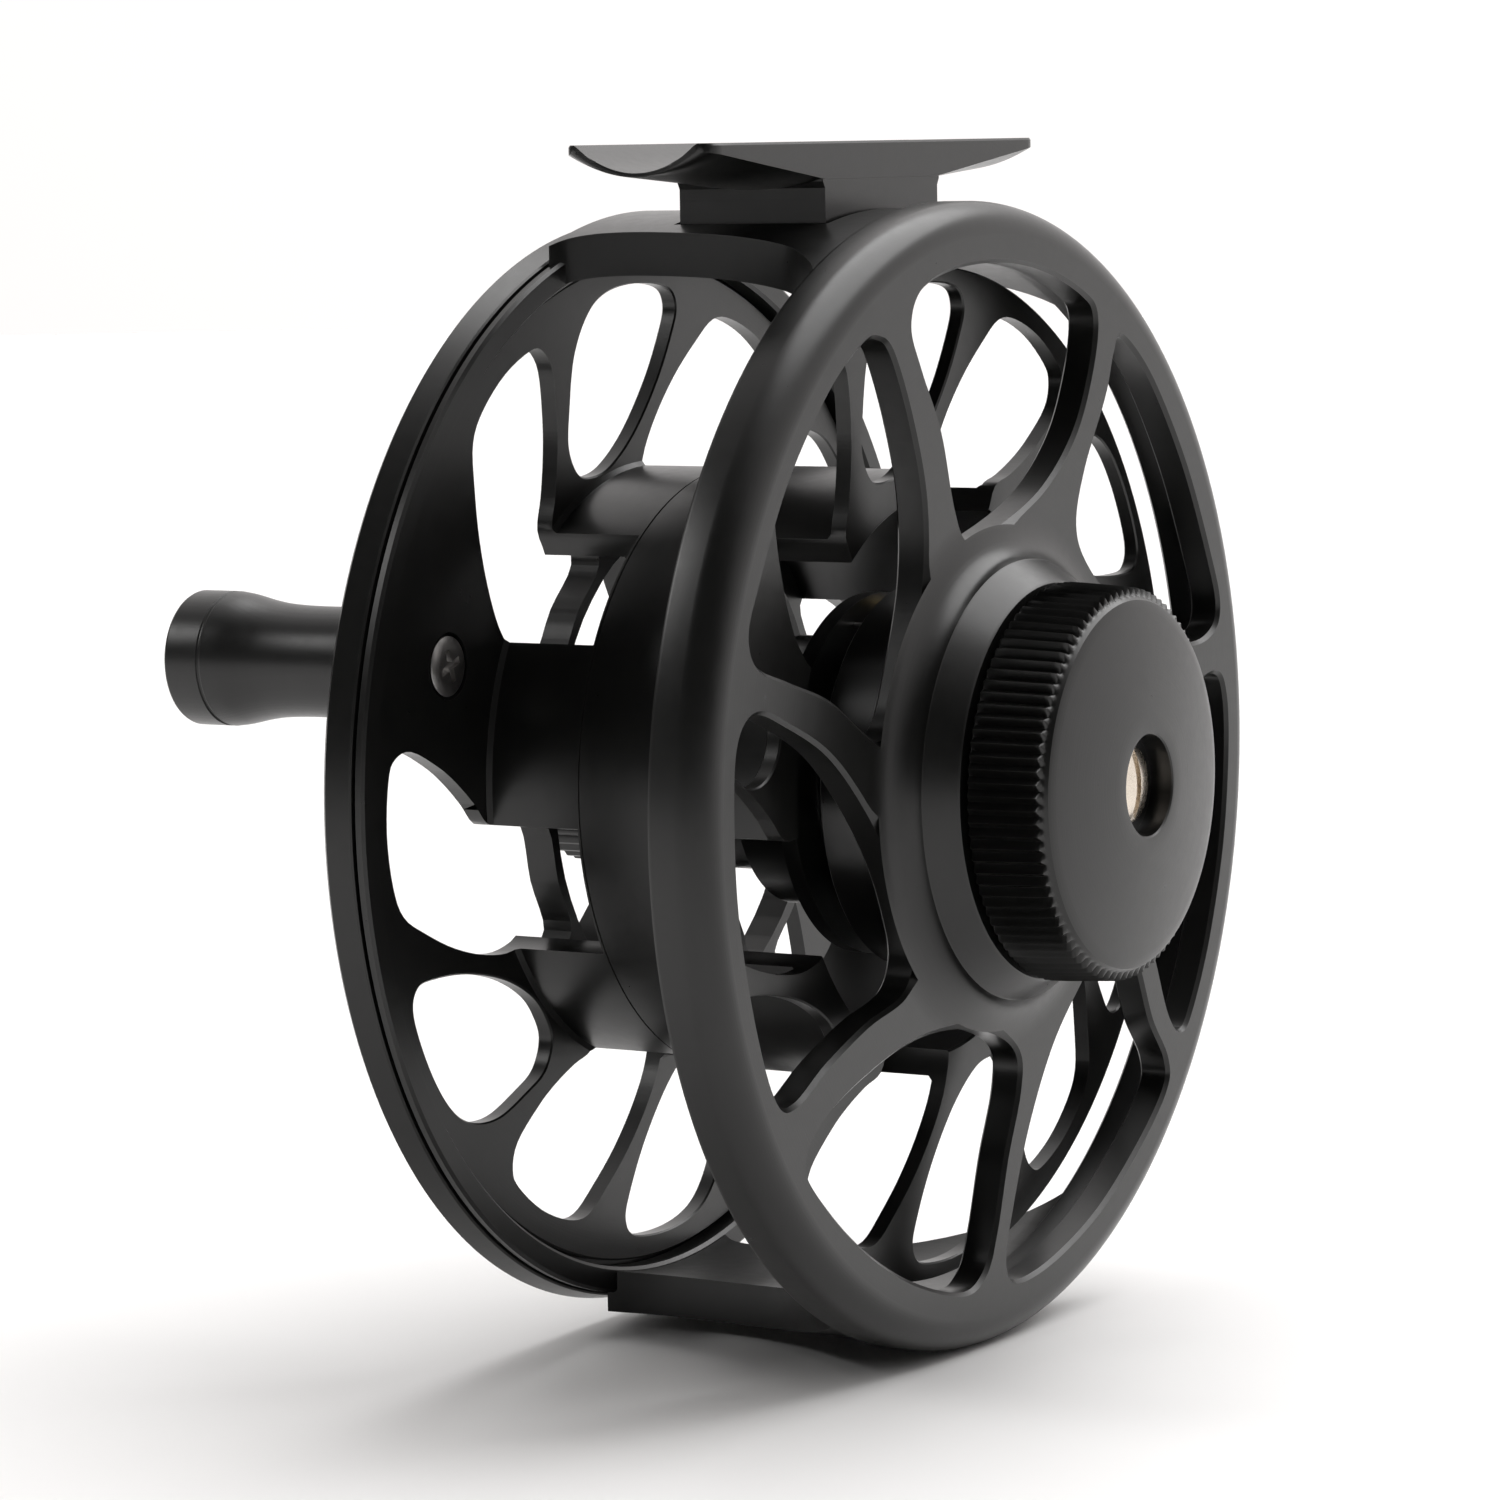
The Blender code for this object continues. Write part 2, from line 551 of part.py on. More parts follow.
def build_spool():
    """The spool: one machined piece, ported through both flanges, the arbor and the web."""
    spool = turned("spool", spool_profile(), FINE_STEPS)
    for name, place in (("handle_boss", HANDLE_AT), ("counterweight_boss", COUNTERWEIGHT_AT)):
        combine(spool, plug(name, HANDLE_BOSS_R, -38.0, HANDLE_BOSS, 28, place), "UNION")
    open_ports = [port(OPEN_PORT, turn) for turn in OPEN_TURNS]
    near_lens = [port(LENS_PORT, turn) for turn in LENS_TURNS if turn != HANDLE_LENS_TURN]
    far_lens = [port(LENS_PORT, turn) for turn in LENS_TURNS
                if turn not in (HANDLE_LENS_TURN, COUNTERWEIGHT_LENS_TURN)]
    web_ports = [port(WEB_PORT, turn) for turn in WEB_TURNS]
    combine(spool, flat("near_open_ports", open_ports, -5.5, BAND[0], smooth=1))
    combine(spool, flat("far_open_ports", open_ports, BAND[1], -41.0, smooth=1))
    combine(spool, flat("near_lens_ports", near_lens, -5.5, -8.5, smooth=1))
    combine(spool, flat("far_lens_ports", far_lens, -36.5, -41.0, smooth=1))
    combine(spool, flat("web_ports", web_ports, -32.0, -37.0, smooth=1))
    combine(spool, plug("handle_access", 4.2, -5.5, -8.5, 26, (33.5, 166.5)))
    for name, place in (("handle_hole", HANDLE_AT), ("counterweight_hole", COUNTERWEIGHT_AT)):
        combine(spool, plug(name, 1.9, -36.0, -41.0, 15, place))
    combine(spool, plug("handle_screw_recess", 3.0, -36.0, -37.9, 22, HANDLE_AT))
    combine(spool, plug("pawl_pin_hole", 0.9, -11.0, -15.0, 12, PAWL_AT))
    combine(spool, plug("spring_hole", 0.6, -11.0, -15.0, 12, (14.8, 109.0)))
    return finish(spool, BLACK_METAL)


def build_bearings():
    """The one-way clutch, two ball bearings and the tube that spaces them."""
    finish(ring("one_way_clutch", 7.7, 9.6, -12.4, -19.2, 32), STEEL)
    for name, top in (("bearing_front", FRONT_BEARING), ("bearing_rear", REAR_BEARING)):
        bottom = top - BEARING_WIDTH
        profile = [(BEARING_BORE_R, top), (4.4, top), (4.4, top - 0.4), (5.7, top - 0.4),
                   (5.7, top), (BEARING_R, top), (BEARING_R, bottom), (5.7, bottom),
                   (5.7, bottom + 0.4), (4.4, bottom + 0.4), (4.4, bottom),
                   (BEARING_BORE_R, bottom)]
        finish(turned(name, profile), STEEL)
    finish(ring("bearing_spacer", 3.3, 4.6, -24.2, -34.2), ALUMINIUM)


def build_spool_cap():
    """The knurled cap that keeps the spool on, and its screw in the spindle's end."""
    profile = [(3.4, -40.0), (9.5, -40.0), (9.5, -44.6), (8.7, -45.4), (3.6, -45.4),
               (3.6, -43.8), (1.8, -43.8), (1.8, -41.4), (3.4, -41.4)]
    cap = turned("spool_cap", profile, 32)
    teeth = flat("cap_teeth", [toothed(9.7, 9.0, 32)], -39.0, -46.0)
    combine(cap, teeth, "INTERSECT")
    finish(cap, BLACK_METAL)
    screw = turned("cap_screw", [(0.0, -36.0), (1.5, -36.0), (1.5, -44.1), (3.2, -44.1),
                                 (3.2, -45.0), (0.0, -45.0)])
    combine(screw, flat("cap_screw_socket", [polygon(6, 1.3)], -44.4, -46.0))
    finish(screw, STEEL)


# ---------------------------------------------------------------- handle and clicker


def build_handle():
    """The winding handle: a grip that spins on a post screwed to the far flange."""
    finish(ring("handle_washer", 3.4, 5.6, -40.3, -40.9, place=HANDLE_AT), NICKEL)
    post = [(0.0, -46.0), (1.9, -46.0), (1.9, -40.3), (2.9, -40.3), (2.9, -62.0),
            (4.7, -62.0), (4.7, -63.2), (0.0, -63.2)]
    finish(turned("handle_post", post, place=HANDLE_AT), STEEL)
    grip = [(3.2, -41.2), (5.0, -41.2), (5.2, -41.8), (5.05, -46.0), (5.0, -51.0),
            (5.13, -54.2), (5.42, -56.3), (5.9, -58.5), (6.15, -60.2), (6.15, -63.8),
            (5.9, -64.1), (5.0, -64.1), (5.0, -61.7), (3.2, -61.7)]
    finish(turned("handle_grip", grip, 28, HANDLE_AT), BLACK_GRIP)
    screw = [(0.0, -37.0), (2.2, -37.1), (2.7, -37.4), (1.6, -37.6), (1.6, -45.6), (0.0, -45.6)]
    handle_screw = turned("handle_screw", screw, 20, HANDLE_AT)
    for name, half_x, half_y in (("cross_wide", 1.4, 0.35), ("cross_tall", 0.35, 1.4)):
        bar = [(-half_x, -half_y), (half_x, -half_y), (half_x, half_y), (-half_x, half_y)]
        combine(handle_screw, flat(name, [bar], -36.0, -37.35, place=HANDLE_AT))
    finish(handle_screw, STEEL)


def build_counterweight():
    """The weight opposite the handle and its screw."""
    weight = [(1.9, -40.3), (5.6, -40.3), (5.6, -42.6), (4.9, -43.2), (3.2, -43.2),
              (3.2, -41.9), (1.9, -41.9)]
    finish(turned("counterweight", weight, 24, COUNTERWEIGHT_AT), NICKEL)
    screw = [(0.0, -37.6), (1.6, -37.6), (1.6, -42.2), (2.8, -42.2), (2.8, -43.0),
             (0.0, -43.0)]
    screw = turned("counterweight_screw", screw, place=COUNTERWEIGHT_AT)
    socket = flat("counterweight_screw_socket", [polygon(6, 1.2)], -42.5, -44.0,
                  place=COUNTERWEIGHT_AT)
    combine(screw, socket)
    finish(screw, STEEL)


def build_clicker():
    """The click wheel on the drag cover, and the sprung pawl that the spool carries."""
    wheel = flat("click_wheel", [toothed(CLICK_TIP_R, CLICK_ROOT_R, CLICK_TEETH)],
                 -9.1, -10.6, parts=True)
    combine(wheel, plug("click_wheel_bore", 9.4, -8.0, -12.0, 32))
    finish(wheel, STEEL)
    finish(plug("pawl_pin", 0.6, -9.2, -13.5, 12, PAWL_AT, parts=True), STEEL)
    nose = [(-3.4, -0.2), (-3.4, 0.2), (-2.6, 0.75), *arc((0.0, 0.0), 1.5, 150, -150, 11),
            (-2.6, -0.75)]
    turn = math.radians(PAWL_AT[1])
    outline = [(x * math.cos(turn) - y * math.sin(turn), x * math.sin(turn) + y * math.cos(turn))
               for x, y in nose]
    pawl = flat("click_pawl", [outline], -9.3, -10.6, place=PAWL_AT, parts=True)
    combine(pawl, plug("pawl_bore", 0.9, -8.0, -12.0, 12, PAWL_AT))
    finish(pawl, BRASS)
    wire = bpy.data.curves.new("click_spring", "CURVE")
    wire.dimensions = "3D"
    wire.bevel_depth = 0.25 * MM
    wire.bevel_resolution = 2
    wire.use_fill_caps = True
    spline = wire.splines.new("POLY")
    route = [(*at((14.8, angle), -10.0), 1.0) for angle in range(83, 108, 6)]
    route += [(*at((14.8, 109.0), -10.5), 1.0), (*at((14.8, 109.0), -13.3), 1.0)]
    spline.points.add(len(route) - 1)
    for point, place in zip(spline.points, route):
        point.co = place
    finish(linked(bpy.data.objects.new("click_spring", wire)), STEEL)


# ---------------------------------------------------------------- build

clear_scene()
PARTS = new_collection("fly_reel")
CUTTERS = new_collection("cutters")
CUTTERS.hide_render = True
LAYOUT = bpy.data.objects.new("reel_layout", None)
PARTS.objects.link(LAYOUT)
LAYOUT.location = (0.0, -SEAT_DEPTH * MM, -SEAT_RADIUS * MM)
LAYOUT.rotation_euler = (math.pi / 2, 0.0, 0.0)

BLACK_METAL = new_material("black_anodised", (0.028, 0.028, 0.027), 0.42, 0.9)
BLACK_GRIP = new_material("black_grip", (0.02, 0.02, 0.02), 0.5, 0.0)
STEEL = new_material("stainless_steel", (0.45, 0.45, 0.46), 0.3, 1.0)
NICKEL = new_material("nickel", (0.78, 0.72, 0.63), 0.25, 1.0)
BRASS = new_material("brass", (0.72, 0.55, 0.25), 0.3, 1.0)
BRONZE = new_material("bronze", (0.45, 0.28, 0.14), 0.4, 1.0)
ALUMINIUM = new_material("aluminium", (0.7, 0.7, 0.72), 0.35, 1.0)
CARBON = new_material("carbon_fibre", (0.03, 0.03, 0.035), 0.5, 0.0)
RUBBER = new_material("rubber", (0.02, 0.02, 0.02), 0.8, 0.0)

build_frame()
build_foot()
build_foot_screw("foot_screw_left", -FOOT_SCREW_X)
build_foot_screw("foot_screw_right", FOOT_SCREW_X)
build_knob()
build_knob_screw()
build_spindle()
build_drag()
build_spool()
build_bearings()
build_spool_cap()
build_handle()
build_counterweight()
build_clicker()
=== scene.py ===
"""Looks of the fly reel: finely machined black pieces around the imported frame, in a soft studio."""

import json
import math

import bmesh
import bpy
from mathutils import Matrix, Vector


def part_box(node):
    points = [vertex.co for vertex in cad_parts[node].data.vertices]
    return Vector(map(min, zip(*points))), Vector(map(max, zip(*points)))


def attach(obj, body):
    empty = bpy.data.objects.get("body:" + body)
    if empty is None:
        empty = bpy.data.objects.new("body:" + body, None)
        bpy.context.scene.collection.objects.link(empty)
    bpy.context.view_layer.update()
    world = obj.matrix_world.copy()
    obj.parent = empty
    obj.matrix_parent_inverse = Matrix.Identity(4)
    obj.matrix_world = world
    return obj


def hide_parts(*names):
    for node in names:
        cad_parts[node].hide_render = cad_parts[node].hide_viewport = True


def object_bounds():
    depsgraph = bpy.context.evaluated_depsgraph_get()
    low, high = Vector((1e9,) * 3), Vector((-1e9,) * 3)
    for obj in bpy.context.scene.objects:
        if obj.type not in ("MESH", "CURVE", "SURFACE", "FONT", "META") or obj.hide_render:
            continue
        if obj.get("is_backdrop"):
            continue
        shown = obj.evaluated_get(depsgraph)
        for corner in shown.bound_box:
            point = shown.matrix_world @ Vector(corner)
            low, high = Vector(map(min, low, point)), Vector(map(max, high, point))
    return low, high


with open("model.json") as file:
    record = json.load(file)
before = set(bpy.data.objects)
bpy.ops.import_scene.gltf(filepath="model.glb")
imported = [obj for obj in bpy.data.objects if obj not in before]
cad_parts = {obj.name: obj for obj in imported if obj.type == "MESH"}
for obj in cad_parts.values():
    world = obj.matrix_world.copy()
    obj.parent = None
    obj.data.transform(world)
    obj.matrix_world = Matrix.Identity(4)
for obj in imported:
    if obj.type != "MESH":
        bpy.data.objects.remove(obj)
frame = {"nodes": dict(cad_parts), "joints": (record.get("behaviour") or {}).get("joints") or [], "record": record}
cad_low, cad_high = (Vector(corner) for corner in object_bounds())

MM = 0.001
LATHE_STEPS = 240
SHARP_ANGLE = math.radians(30)

# The layout that the pieces are drawn in: mm on the spool axis, height 0 on the frame's face
COVER_HEIGHT = -7.0
SPOOL_JOINT = next(joint for joint in frame["joints"] if joint["name"] == "spool_spin")
AXIS_X, _, AXIS_Z = SPOOL_JOINT["pos_m"]
FACE_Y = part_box("drag_cover")[0].y + COVER_HEIGHT * MM
SEAT_RADIUS = -AXIS_Z / MM
SEAT_DEPTH = -FACE_Y / MM
TO_WORLD = (Matrix.Translation((AXIS_X, FACE_Y, AXIS_Z))
            @ Matrix.Rotation(math.pi / 2, 4, "X") @ Matrix.Scale(MM, 4))

RING_R = (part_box("frame")[1].x - AXIS_X) / MM
HANDLE_AT = (36.0, 160.6)
COUNTERWEIGHT_AT = (36.0, 340.6)
FOOT_LENGTH = (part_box("reel_foot")[1].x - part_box("reel_foot")[0].x) / MM
FOOT_WIDTH = (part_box("reel_foot")[1].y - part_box("reel_foot")[0].y) / MM
PEDESTAL_LENGTH = 20.8
PEDESTAL_SEAT = 50.15
TIP_ROUNDING = 2.0
FOOT_FACETS = 32
TROUGH_SAG = 2.5
KNOB_TEETH = 96
CAP_TEETH = 40
BOSS_R = 20.0
BOSS_FOOT_HEIGHT = 2.8

# Camera: it orbits a point on the spool axis just behind the frame's face
CAMERA_AIM_HEIGHT = -0.9
CAMERA_AZIMUTH = 210.65
CAMERA_ELEVATION = 6.07
CAMERA_ROLL = -0.96
CAMERA_DISTANCE = 0.520
CAMERA_RIGHT = -0.02197
CAMERA_UP = 0.00253
CAMERA_LENS = 137.4

# Studio: the backdrop lies along this direction, and the room opposite is dim
BACKDROP_DIRECTION = (0.90, -0.10, 0.42)
BACKDROP_COLOUR = (1.06, 1.03, 1.02)
ROOM_COLOUR = (0.05, 0.05, 0.05)

# Windows of the frame: points (x, y) that a closed smooth curve runs through
FRAME_WINDOWS = (
    ((-15.2, 41.5), (-13.2, 44.5), (-7.0, 46.2), (1.8, 46.6), (10.0, 45.6), (17.5, 43.2),
     (20.0, 41.0), (18.8, 36.0), (15.2, 30.3), (8.5, 25.5), (-1.0, 22.4), (-5.6, 22.1),
     (-7.8, 25.2), (-10.0, 32.0), (-13.5, 37.8)),
    ((-24.0, 40.1), (-21.2, 40.5), (-18.8, 39.0), (-15.6, 33.0), (-13.4, 26.0), (-13.6, 18.5),
     (-16.3, 11.0), (-18.6, 6.8), (-21.8, 5.5), (-25.0, 6.8), (-30.5, 9.9), (-37.5, 12.1),
     (-42.6, 13.8), (-44.1, 16.4), (-42.6, 20.0), (-37.2, 28.8), (-30.0, 36.2)),
    ((-46.9, 3.0), (-46.0, 8.0), (-43.0, 9.8), (-38.0, 8.3), (-31.0, 5.1), (-25.0, 0.2),
     (-20.0, -5.5), (-17.0, -11.0), (-16.2, -14.6), (-18.4, -17.4), (-25.0, -19.0),
     (-32.0, -21.5), (-37.6, -24.1), (-40.8, -23.3), (-44.0, -16.4), (-46.5, -6.5)),
    ((-35.9, -29.2), (-33.0, -26.6), (-27.0, -24.2), (-18.0, -22.0), (-10.0, -21.7),
     (-2.0, -23.1), (2.8, -25.6), (2.9, -29.2), (0.3, -35.0), (-2.0, -41.5), (-4.2, -45.0),
     (-8.5, -45.9), (-18.0, -43.0), (-27.0, -38.2), (-34.6, -32.0)),
    ((16.0, -20.9), (10.0, -26.0), (5.0, -33.0), (1.5, -40.5), (0.3, -44.4), (2.0, -46.6),
     (9.0, -46.0), (18.5, -43.0), (27.0, -38.2), (32.8, -33.6), (33.2, -30.7), (30.0, -26.5),
     (27.3, -20.9), (24.5, -17.6), (20.5, -17.6)),
    ((44.5, 5.6), (46.6, 3.6), (47.0, -2.0), (45.7, -10.9), (42.5, -19.9), (38.7, -26.4),
     (36.4, -28.2), (33.9, -26.2), (31.2, -20.5), (28.3, -15.0), (25.5, -9.0), (24.2, -2.5),
     (24.3, 3.5), (27.0, 5.6), (32.0, 5.0), (38.5, 4.6)),
    ((25.5, 38.9), (23.8, 37.6), (22.0, 33.5), (17.6, 27.0), (15.8, 22.0), (18.0, 18.3),
     (24.0, 14.2), (32.0, 10.6), (39.5, 9.1), (44.0, 9.9), (45.4, 12.2), (43.8, 16.5),
     (38.5, 26.0), (31.5, 34.6)),
)

# Ports of the spool: points (degrees, radius) from the angle that a port is turned to
OPEN_PORT = (
    (-3.6, 43.9), (2.4, 44.3), (8.6, 44.0), (12.8, 43.0), (16.5, 40.2), (21.5, 36.4),
    (26.8, 32.3), (31.0, 28.6), (32.0, 24.9), (20.0, 24.7), (7.8, 24.9), (5.8, 28.2),
    (1.5, 30.3), (-2.4, 33.1), (-5.0, 36.1), (-7.0, 40.5), (-6.0, 43.0),
)
LENS_PORT = (
    (12.7, 43.3), (17.3, 40.3), (21.2, 35.9), (23.6, 32.9), (22.9, 30.2), (19.4, 29.0),
    (12.6, 28.8), (3.7, 31.1), (-3.5, 35.7), (-7.2, 40.5), (-7.9, 43.1), (-5.5, 44.6),
    (1.5, 44.9), (8.0, 44.6),
)
WEB_PORT = ((-19.3, 13.1), (0.4, 12.6), (19.3, 13.1), (21.3, 20.0), (20.3, 23.3),
            (0.4, 23.5), (-20.3, 23.3), (-21.3, 20.0))
HANDLE_LENS_TURN = 150
COUNTERWEIGHT_LENS_TURN = 330

# Half widths of the pillars as (height, half width)
TOP_PILLAR = ((-3.6, 27.0), (-5.8, 22.5), (-8.5, 19.5), (-12.5, 16.8), (-20.0, 14.3),
              (-28.0, 13.3), (-33.0, 13.6), (-35.6, 15.0), (-36.6, 17.0))
BOTTOM_PILLAR = ((-3.6, 26.0), (-5.8, 22.0), (-8.5, 18.5), (-12.5, 14.6), (-18.0, 11.0),
                 (-24.0, 9.0), (-30.0, 8.2), (-34.0, 8.6), (-36.6, 10.5))


# ---------------------------------------------------------------- curves


def catmull(before, start, end, after, t):
    """A point between start and end on a Catmull-Rom curve."""
    return tuple(0.5 * (2 * b + (c - a) * t + (2 * a - 5 * b + 4 * c - d) * t * t
                        + (3 * b - a - 3 * c + d) * t ** 3)
                 for a, b, c, d in zip(before, start, end, after))


def closed_curve(points, per_span=8):
    """A smooth closed outline through the points."""
    count = len(points)
    return [catmull(points[i - 1], points[i], points[(i + 1) % count],
                    points[(i + 2) % count], step / per_span)
            for i in range(count) for step in range(per_span)]


def open_curve(points, per_span=6):
    """A smooth line through the points, ends included."""
    padded = [points[0], *points, points[-1]]
    line = [catmull(*padded[i:i + 4], step / per_span)
            for i in range(len(points) - 1) for step in range(per_span)]
    return [*line, points[-1]]


def arc(centre, radius, start, end, count):
    """Points along an arc, in degrees."""
    turns = [math.radians(start + (end - start) * i / (count - 1)) for i in range(count)]
    return [(centre[0] + radius * math.cos(t), centre[1] + radius * math.sin(t))
            for t in turns]


def polar(radius, degrees):
    """(x, y) of a polar place."""
    turn = math.radians(degrees)
    return radius * math.cos(turn), radius * math.sin(turn)


def port(points, turn):
    """A port's outline turned to its place."""
    return [polar(radius, angle + turn) for angle, radius in points]


def offset(outline, distance):
    """The outline moved outwards along its own normals."""
    area = sum(a[0] * b[1] - b[0] * a[1] for a, b in zip(outline, outline[1:] + outline[:1]))
    side = 1 if area > 0 else -1
    moved = []
    for i, (x, y) in enumerate(outline):
        ahead = outline[(i + 1) % len(outline)]
        behind = outline[i - 1]
        along = Vector((ahead[0] - behind[0], ahead[1] - behind[1])).normalized()
        moved.append((x + side * along.y * distance, y - side * along.x * distance))
    return moved


# ---------------------------------------------------------------- solids in the layout


def made(name, bm):
    """A linked object from a bmesh, faces outwards."""
    bmesh.ops.remove_doubles(bm, verts=bm.verts, dist=1e-5)
    bmesh.ops.recalc_face_normals(bm, faces=bm.faces)
    mesh = bpy.data.meshes.new(name)
    bm.to_mesh(mesh)
    bm.free()
    obj = bpy.data.objects.new(name, mesh)
    bpy.context.scene.collection.objects.link(obj)
    return obj


def bridge(bm, rings, closed):
    """Faces between neighbouring rings of points; a ring of one point is a tip."""
    pairs = list(zip(rings, rings[1:]))
    if closed:
        pairs.append((rings[-1], rings[0]))
    for first, second in pairs:
        count = max(len(first), len(second))
        for i in range(count):
            j = (i + 1) % count
            corners = [first[i % len(first)], first[j % len(first)],
                       second[j % len(second)], second[i % len(second)]]
            unique = list(dict.fromkeys(corners))
            if len(unique) > 2:
                bm.faces.new(unique)


def lathe(name, profile, steps=LATHE_STEPS, place=(0.0, 0.0), teeth=None):
    """A (radius, height) profile turned about the height axis through a polar place.

    A third number in a profile point is how deep the teeth cut there.
    """
    bm = bmesh.new()
    x0, y0 = polar(*place)
    rings = []
    for radius, height, *depth in profile:
        if radius < 1e-6:
            rings.append([bm.verts.new((x0, y0, height))])
            continue
        ring = []
        for step in range(steps):
            cut = depth[0] * teeth[step % len(teeth)] if depth else 0.0
            x, y = polar(radius - cut, 360 * step / steps)
            ring.append(bm.verts.new((x0 + x, y0 + y, height)))
        rings.append(ring)
    bridge(bm, rings, closed=profile[0][0] > 1e-6)
    return made(name, bm)


def loft(name, sections):
    """A solid through sections of equal length, capped at both ends."""
    bm = bmesh.new()
    rings = [[bm.verts.new(point) for point in section] for section in sections]
    bridge(bm, rings, closed=False)
    bm.faces.new(rings[0])
    bm.faces.new(rings[-1])
    return made(name, bm)


def punch(name, outline, steps):
    """A cutter that follows the outline, with (offset, height) steps for its chamfers."""
    return loft(name, [[(x, y, height) for x, y in offset(outline, out)]
                       for out, height in steps])


def upright(name, outline, low, high):
    """A cutter whose (x, height) outline runs along the layout's y."""
    return loft(name, [[(x, y, height) for x, height in outline] for y in (low, high)])


def joined(obj, tools, operation="DIFFERENCE"):
    """Applies exact Booleans with the tools, which are used up."""
    for tool in tools:
        modifier = obj.modifiers.new(tool.name, "BOOLEAN")
        modifier.operation = operation
        modifier.solver = "EXACT"
        modifier.object = tool
    graph = bpy.context.evaluated_depsgraph_get()
    mesh = bpy.data.meshes.new_from_object(obj.evaluated_get(graph))
    obj.modifiers.clear()
    obj.data = mesh
    for tool in tools:
        bpy.data.objects.remove(tool)
    return obj


def piece(obj, material, body, nodes):
    """Puts a finished solid in the world, on its body, in place of its CAD nodes."""
    obj.data.transform(TO_WORLD)
    obj.data.materials.clear()
    obj.data.materials.append(material)
    obj.data.shade_smooth()
    obj.data.set_sharp_from_angle(angle=SHARP_ANGLE)
    weighted = obj.modifiers.new("weighted normals", "WEIGHTED_NORMAL")
    weighted.keep_sharp = True
    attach(obj, body)
    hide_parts(*nodes)
    return obj


# ---------------------------------------------------------------- materials


class Shader:
    """A material's node tree with short ways to add and join nodes."""

    def __init__(self, name):
        self.material = bpy.data.materials.new(name)
        self.material.use_nodes = True
        self.tree = self.material.node_tree
        self.principled = self.tree.nodes["Principled BSDF"]
        self.coordinates = self.add("ShaderNodeTexCoord").outputs["Object"]

    def add(self, kind, **values):
        """A node whose properties and sockets take the values."""
        node = self.tree.nodes.new(kind)
        for key, value in values.items():
            name = key.replace("_", " ").title()
            if name in node.inputs:
                node.inputs[name].default_value = value
            else:
                setattr(node, key, value)
        return node

    def link(self, output, socket):
        """Joins an output to a socket."""
        self.tree.links.new(output, socket)

    def noise(self, scale, detail=4.0, roughness=0.55):
        """A noise texture's value in object space."""
        node = self.add("ShaderNodeTexNoise", scale=scale, detail=detail, roughness=roughness)
        self.link(self.coordinates, node.inputs["Vector"])
        return node.outputs["Fac"]

    def ramp(self, value, low, high, low_colour, high_colour):
        """A colour that follows a value."""
        node = self.add("ShaderNodeValToRGB")
        node.color_ramp.elements[0].position = low
        node.color_ramp.elements[1].position = high
        node.color_ramp.elements[0].color = (*low_colour, 1.0)
        node.color_ramp.elements[1].color = (*high_colour, 1.0)
        self.link(value, node.inputs["Fac"])
        return node.outputs["Color"]

    def span(self, value, low, high):
        """A value mapped from 0..1 onto low..high."""
        node = self.add("ShaderNodeMapRange")
        node.inputs["To Min"].default_value = low
        node.inputs["To Max"].default_value = high
        self.link(value, node.inputs["Value"])
        return node.outputs["Result"]

    def edges(self, radius):
        """1 on worn convex and concave edges, 0 on open surface."""
        rounded = self.add("ShaderNodeBevel", radius=radius)
        rounded.samples = 4
        geometry = self.add("ShaderNodeNewGeometry")
        dot = self.add("ShaderNodeVectorMath", operation="DOT_PRODUCT")
        self.link(rounded.outputs["Normal"], dot.inputs[0])
        self.link(geometry.outputs["Normal"], dot.inputs[1])
        mask = self.add("ShaderNodeMapRange")
        mask.inputs["From Min"].default_value = 0.998
        mask.inputs["From Max"].default_value = 0.93
        self.link(dot.outputs["Value"], mask.inputs["Value"])
        return mask.outputs["Result"]

    def mix(self, factor, first, second):
        """A blend of two colours."""
        node = self.add("ShaderNodeMix", data_type="RGBA")
        self.link(factor, node.inputs[0])
        for value, socket in ((first, node.inputs[6]), (second, node.inputs[7])):
            if isinstance(value, tuple):
                socket.default_value = (*value, 1.0)
            else:
                self.link(value, socket)
        return node.outputs[2]

    def bump(self, height, strength, distance):
        """Bump from a height value onto the shader's normal."""
        node = self.add("ShaderNodeBump", strength=strength, distance=distance)
        self.link(height, node.inputs["Height"])
        self.link(node.outputs["Normal"], self.principled.inputs["Normal"])

    def sets(self, **values):
        """Constant values on the shader's own sockets."""
        for key, value in values.items():
            self.principled.inputs[key.replace("_", " ").title()].default_value = value


def turning_lines(shader, scale):
    """Rings left by the lathe: bands that follow the distance from the spool axis."""
    split = shader.add("ShaderNodeSeparateXYZ")
    shader.link(shader.coordinates, split.inputs["Vector"])
    offset_z = shader.add("ShaderNodeMath", operation="SUBTRACT")
    shader.link(split.outputs["Z"], offset_z.inputs[0])
    offset_z.inputs[1].default_value = AXIS_Z
    flat = shader.add("ShaderNodeCombineXYZ")
    shader.link(split.outputs["X"], flat.inputs["X"])
    shader.link(offset_z.outputs["Value"], flat.inputs["Y"])
    length = shader.add("ShaderNodeVectorMath", operation="LENGTH")
    shader.link(flat.outputs["Vector"], length.inputs[0])
    rings = shader.add("ShaderNodeTexNoise", scale=scale, detail=2.0)
    rings.noise_dimensions = "1D"
    shader.link(length.outputs["Value"], rings.inputs["W"])
    return rings.outputs["Fac"]


